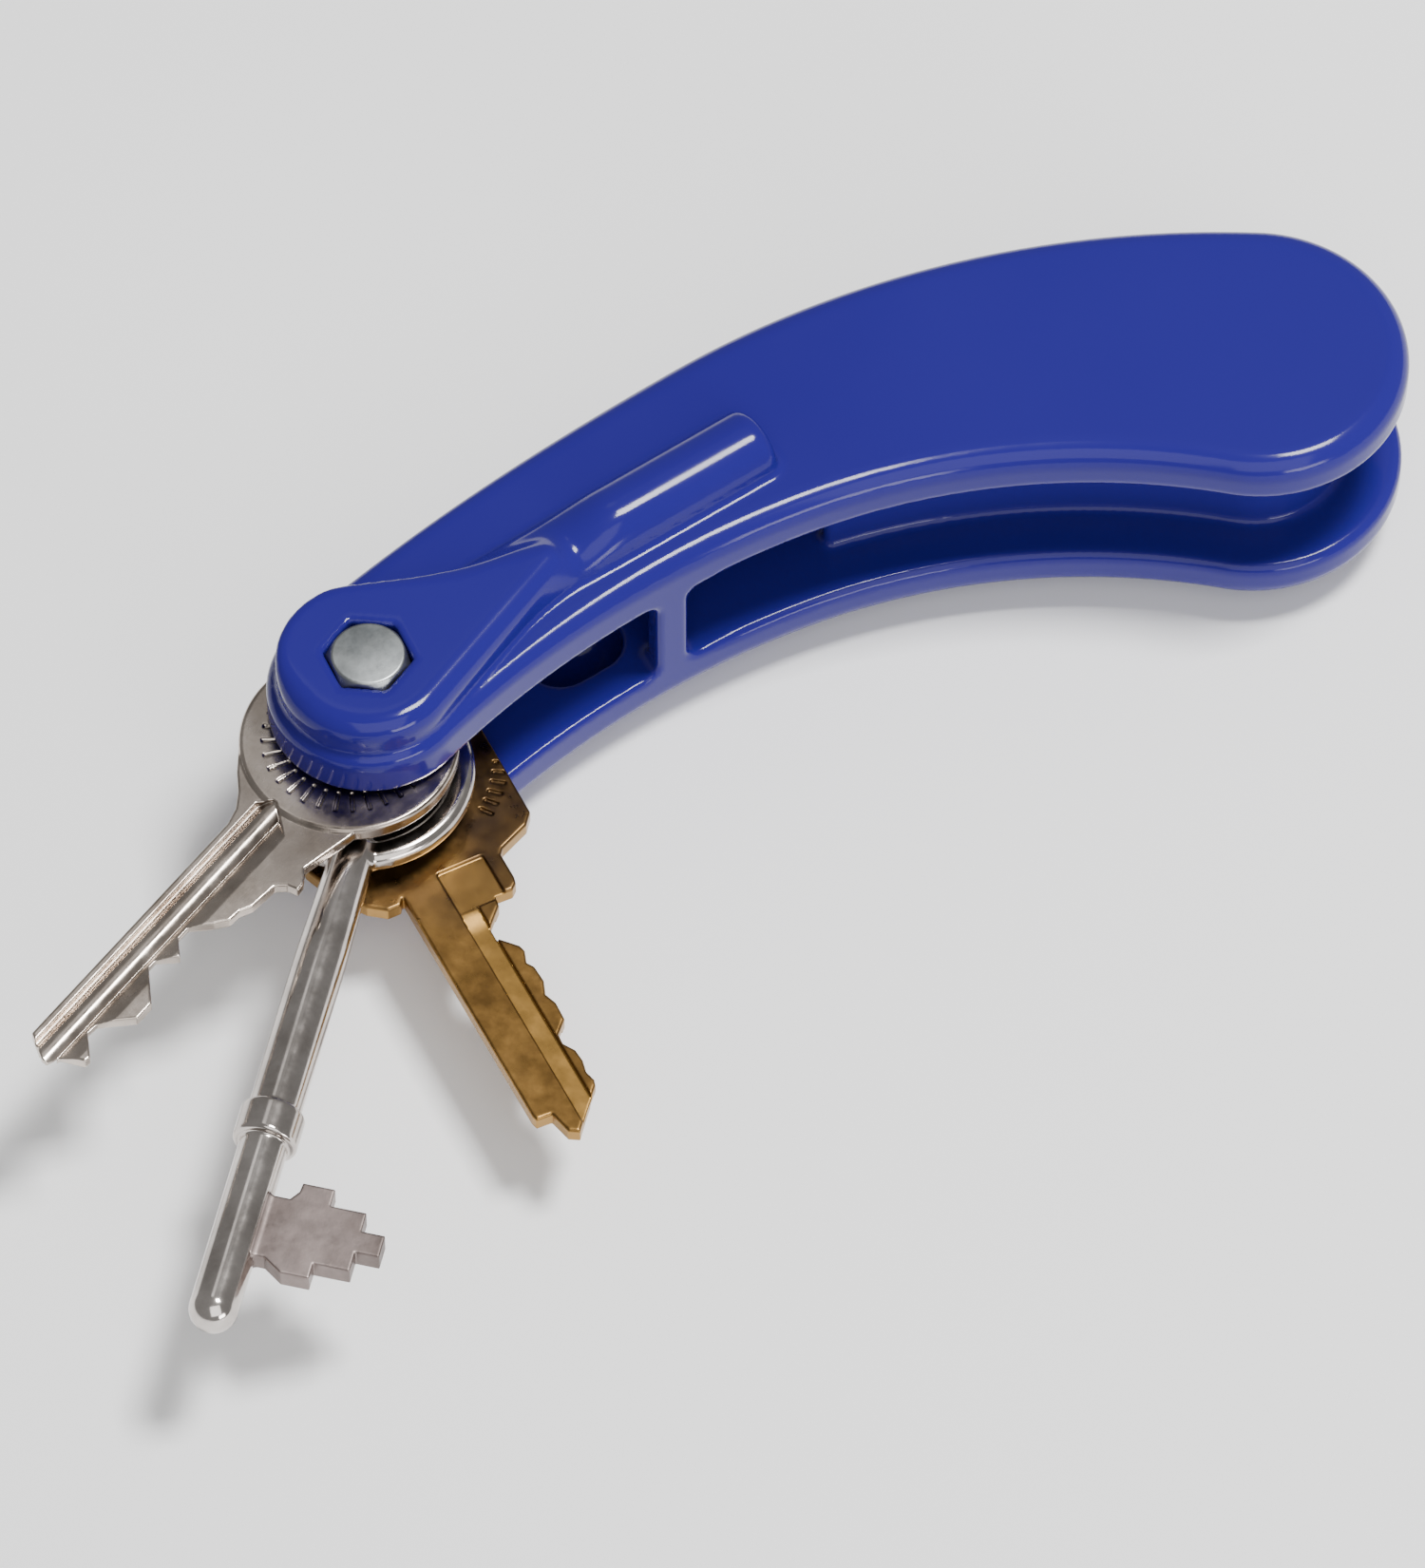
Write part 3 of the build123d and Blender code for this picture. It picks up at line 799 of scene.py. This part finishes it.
def make_world(strength):
    """Even white light from all sides."""
    world = bpy.data.worlds.new("studio")
    world.use_nodes = True
    background = world.node_tree.nodes["Background"]
    background.inputs["Color"].default_value = (1, 1, 1, 1)
    background.inputs["Strength"].default_value = strength
    bpy.context.scene.world = world


def make_floor(reach):
    """Matt white table, which goes this far each way."""
    mesh = bpy.data.meshes.new("floor")
    corners = [(-reach, -reach, 0), (reach, -reach, 0), (reach, reach, 0), (-reach, reach, 0)]
    mesh.from_pydata(corners, [], [(0, 1, 2, 3)])
    floor = bpy.data.objects.new("floor", mesh)
    bpy.context.scene.collection.objects.link(floor)
    n = Nodes("floor")
    n.shader.inputs["Base Color"].default_value = (0.93, 0.93, 0.93, 1)
    n.shader.inputs["Roughness"].default_value = 0.9
    mesh.materials.append(n.material)


# ---------------------------------------------------------------- the scene
make_camera()
make_world(0.30)
area_light("key", (0.30, -0.06, 0.94), 1.0, (0.24, 0.24), 15)
area_light("front", (0.16, -0.97, 0.20), 0.9, (0.4, 0.2), 3)
area_light("fill", (-0.15, -0.70, 0.70), 1.2, (1.0, 1.0), 7)
overhead_light("over_keys", 1.5, -0.13, -0.16, (0.26, 0.26), 0.0, 0.18)
overhead_light("sheen", 1.5, 0.05, -0.21, (0.5, 0.5), 13.0, 0.12)
make_floor(3.0)

washer_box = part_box("cheek_washers")
spacer_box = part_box("key_spacers")
washer_levels = [washer_box[0][2] / MM, washer_box[1][2] / MM - WASHER_T]
spacer_levels = [spacer_box[0][2] / MM, spacer_box[1][2] / MM - SPACER_T]
nickel_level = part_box("nickel_cylinder_key")[0][2] / MM
brass_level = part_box("brass_cylinder_key")[0][2] / MM

steel = metal("washer_steel", (0.42, 0.42, 0.42), (0.58, 0.58, 0.57), (0.25, 0.45))
zinc = metal("bolt_zinc", (0.20, 0.215, 0.22), (0.42, 0.44, 0.44), (0.34, 0.5),
             scratch=(1, 1, 1), grain=4.0, scratches=0.35, dents=0.5)
# The nickel key's last colour is painted shade on its bow, near the bolt, under the cheeks.
nickel = metal("nickel", (0.38, 0.32, 0.27), (0.66, 0.585, 0.52), (0.12, 0.32),
               scratch=(0.06, 1, 1), grain=5.0, dents=0.12, painted_shade=(0.20, 0.165, 0.14))
plated = metal("mortice_nickel", (0.42, 0.38, 0.35), (0.68, 0.63, 0.59), (0.10, 0.2),
               scratch=(0.05, 1, 1), grain=4.0, scratches=0.15, dents=0.03)
cast = metal("bit_steel", (0.15, 0.12, 0.11), (0.28, 0.23, 0.215), (0.35, 0.55),
             scratch=(0.6, 1, 1), grain=5.0, scratches=0.5, dents=0.5)
# The brass key's darkest colour is painted shade on its bow, near the bolt, under the cheeks.
brass = metal("aged_brass", (0.15, 0.082, 0.025), (0.34, 0.19, 0.055), (0.25, 0.42),
              scratch=(0.08, 1, 1), grain=4.0, scratches=0.3,
              painted_shade=(0.036, 0.025, 0.02), milled=(0.38, 0.215, 0.058))

# Each piece is meshed inside a box, from low to high, on a grid with this step.
piece("handle", "handle", plastic(), handle,
      (-11, -17, 0), (119, 25, 32), 0.48)
piece("pivot_bolt", "handle", zinc, bolt,
      (-4.6, -4.6, 0), (4.6, 4.6, 32.6), 0.14)
piece("nut", "handle", zinc, nut,
      (-4.6, -4.6, 0.4), (4.6, 4.6, 5.4), 0.12)
piece("nut_insert", "handle", nylon(), nut_insert,
      (-3.4, -3.4, 0.5), (3.4, 3.4, 1.9), 0.1)
piece("cheek_washers", "handle", steel, washers(washer_levels, WASHER_T),
      (-5, -5, 9.7), (5, 5, 22.3), 0.12)
piece("key_spacers", "handle", steel, washers(spacer_levels, SPACER_T),
      (-5, -5, 12), (5, 5, 20), 0.15)
piece("nickel_cylinder_key", "nickel_key", nickel, nickel_key,
      (-7.5, -11.3, 0), (54, 12, 2), 0.15, NICKEL_ANGLE, nickel_level)
piece("mortice_key_shank", "mortice_key", plated, mortice_shank,
      (-8.1, -12.3, -3.5), (73.5, 12, 3.5), 0.18, MORTICE_ANGLE, MIDDLE)
piece("mortice_key_bit", "mortice_key", cast, mortice_bit,
      (54.6, 1.6, -2.4), (66, 16.7, 2.4), 0.13, MORTICE_ANGLE, MIDDLE)
piece("brass_cylinder_key", "brass_key", brass, brass_key,
      (-9.6, -12.3, 0), (51, 12.3, 2), 0.15, BRASS_ANGLE, brass_level)
